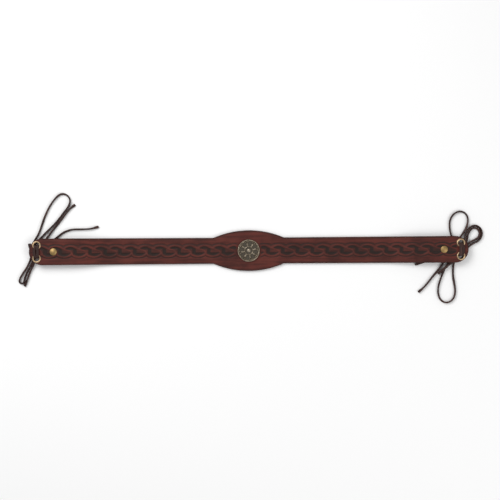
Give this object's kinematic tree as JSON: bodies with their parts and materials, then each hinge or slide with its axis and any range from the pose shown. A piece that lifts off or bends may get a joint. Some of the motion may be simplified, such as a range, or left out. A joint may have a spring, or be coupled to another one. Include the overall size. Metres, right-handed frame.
{
  "type": "breastplate",
  "caption": "Flat tooled leather breastplate strap with an oval centre and round concho, eyelets and a rivet at each end, and leather tie laces knotted behind.",
  "frame": {"origin": "under the middle of the oval centre, on the surface that the lining lies on", "axes": "+X along the strap, +Z out of the tooled face, +Y across the strap"},
  "size_m": [0.7856, 0.191, 0.0195],
  "materials": {
    "tooled_leather": "oiled, tooled, dark edges",
    "lining_leather": "smooth, semi-matte",
    "lace_leather": "oiled, semi-matte",
    "concho_brass": "antiqued, dark recesses",
    "eyelet_brass": "antiqued, satin",
    "rivet_brass": "satin",
    "screw_steel": "plain"
  },
  "bodies": {
    "strap": {"front_strap": "tooled_leather", "left_inner_bar": "lace_leather", "left_inner_knot": "lace_leather", "left_inner_tail_lower": "lace_leather", "left_inner_tail_upper": "lace_leather", "left_lower_eyelet": "eyelet_brass", "left_lower_eyelet_washer": "eyelet_brass", "left_outer_bar": "lace_leather", "left_outer_knot": "lace_leather", "left_outer_loop_lower": "lace_leather", "left_outer_loop_upper": "lace_leather", "left_outer_tail": "lace_leather", "left_rivet_cap": "rivet_brass", "left_rivet_post": "rivet_brass", "left_upper_eyelet": "eyelet_brass", "left_upper_eyelet_washer": "eyelet_brass", "lining": "lining_leather", "right_inner_bar": "lace_leather", "right_inner_knot": "lace_leather", "right_inner_loop_lower": "lace_leather", "right_inner_loop_upper": "lace_leather", "right_inner_tail_long": "lace_leather", "right_inner_tail_under": "lace_leather", "right_lower_eyelet": "eyelet_brass", "right_lower_eyelet_washer": "eyelet_brass", "right_outer_bar": "lace_leather", "right_outer_knot": "lace_leather", "right_outer_loop_narrow": "lace_leather", "right_outer_loop_wide": "lace_leather", "right_outer_tail_short": "lace_leather", "right_rivet_cap": "rivet_brass", "right_rivet_post": "rivet_brass", "right_upper_eyelet": "eyelet_brass", "right_upper_eyelet_washer": "eyelet_brass"},
    "concho": {"concho": "concho_brass", "concho_screw": "screw_steel"}
  },
  "joints": [
    {"name": "concho_turn", "type": "hinge", "parent": "strap", "child": "concho", "pos_m": [0, 0, 0.005], "axis": [0, 0, 1], "continuous": true}
  ]
}
